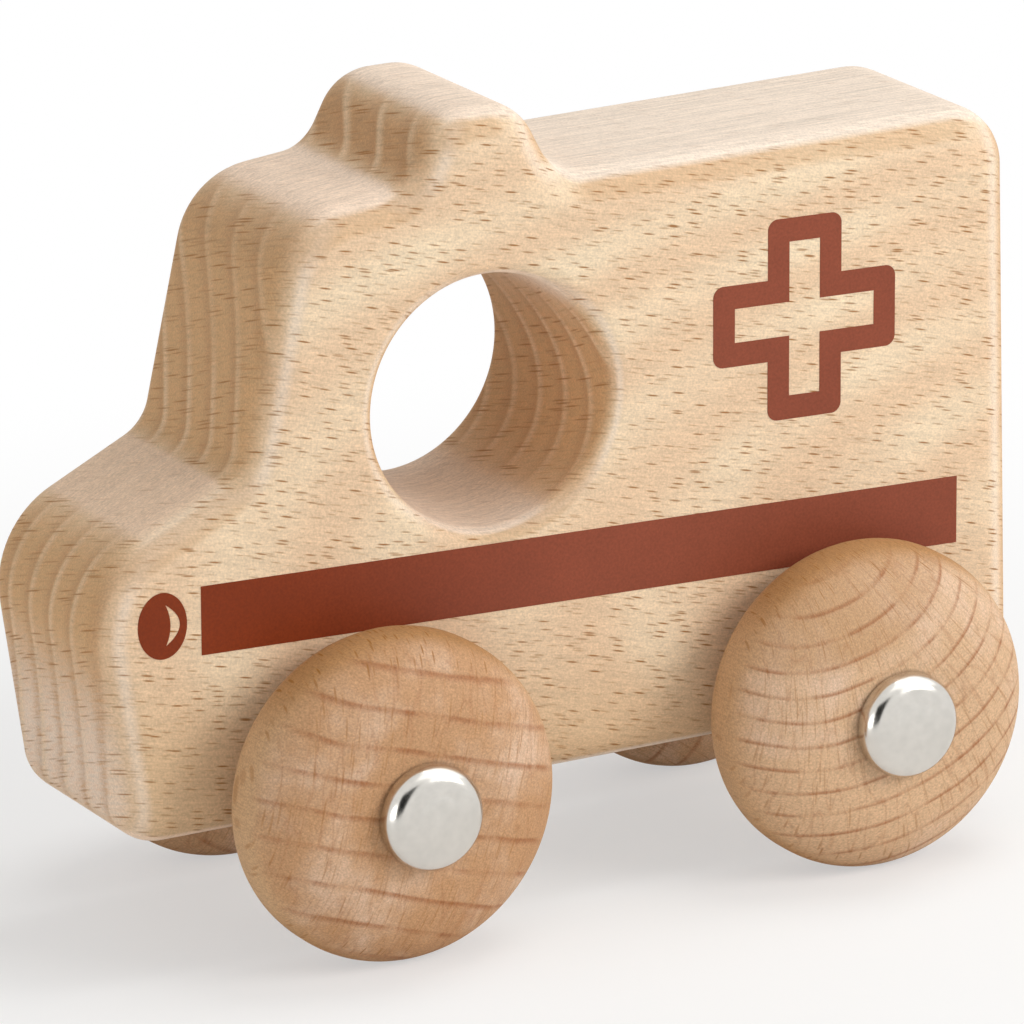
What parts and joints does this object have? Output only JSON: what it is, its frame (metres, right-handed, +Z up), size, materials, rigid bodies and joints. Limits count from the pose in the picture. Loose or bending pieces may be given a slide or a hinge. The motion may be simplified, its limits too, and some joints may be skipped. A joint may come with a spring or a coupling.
{
  "type": "toy ambulance",
  "caption": "Wooden push-along toy ambulance: rounded beech block with a bored window as finger grip, a roof beacon, printed cross, stripe and headlamps, and free-rolling turned wheels.",
  "frame": {"origin": "on the floor that the wheels stand on, under the middle of the toy's box", "axes": "+X from nose to tail, +Y to the toy's right side, +Z up"},
  "size_m": [0.1212, 0.0698, 0.0966],
  "materials": {
    "beech_block": "sanded and oiled, satin",
    "turned_beech": "turned end grain, oiled, satin",
    "nickel_cap": "nickel plated, satin face and bright edge",
    "steel_rod": "drawn, bright",
    "spring_steel": "blued spring steel",
    "red_ink": "screen-printed ink, satin"
  },
  "bodies": {
    "body": {"body_block": "beech_block", "left_cross_print": "red_ink", "right_cross_print": "red_ink", "left_stripe_print": "red_ink", "right_stripe_print": "red_ink", "left_headlamp_print": "red_ink", "right_headlamp_print": "red_ink"},
    "front_axle": {"front_axle": "steel_rod", "front_left_cap": "nickel_cap", "front_right_cap": "nickel_cap", "front_left_lock_ring": "spring_steel", "front_right_lock_ring": "spring_steel"},
    "rear_axle": {"rear_axle": "steel_rod", "rear_left_cap": "nickel_cap", "rear_right_cap": "nickel_cap", "rear_left_lock_ring": "spring_steel", "rear_right_lock_ring": "spring_steel"},
    "front_left_wheel": {"front_left_wheel": "turned_beech"},
    "front_right_wheel": {"front_right_wheel": "turned_beech"},
    "rear_left_wheel": {"rear_left_wheel": "turned_beech"},
    "rear_right_wheel": {"rear_right_wheel": "turned_beech"}
  },
  "joints": [
    {"name": "front_axle_spin", "type": "hinge", "parent": "body", "child": "front_axle", "pos_m": [-0.02749, 0, 0.0197], "axis": [0, 1, 0], "continuous": true},
    {"name": "rear_axle_spin", "type": "hinge", "parent": "body", "child": "rear_axle", "pos_m": [0.03501, 0, 0.0197], "axis": [0, 1, 0], "continuous": true},
    {"name": "front_left_wheel_spin", "type": "hinge", "parent": "front_axle", "child": "front_left_wheel", "pos_m": [-0.02749, 0, 0.0197], "axis": [0, 1, 0], "continuous": true},
    {"name": "front_right_wheel_spin", "type": "hinge", "parent": "front_axle", "child": "front_right_wheel", "pos_m": [-0.02749, 0, 0.0197], "axis": [0, 1, 0], "continuous": true},
    {"name": "rear_left_wheel_spin", "type": "hinge", "parent": "rear_axle", "child": "rear_left_wheel", "pos_m": [0.03501, 0, 0.0197], "axis": [0, 1, 0], "continuous": true},
    {"name": "rear_right_wheel_spin", "type": "hinge", "parent": "rear_axle", "child": "rear_right_wheel", "pos_m": [0.03501, 0, 0.0197], "axis": [0, 1, 0], "continuous": true}
  ]
}
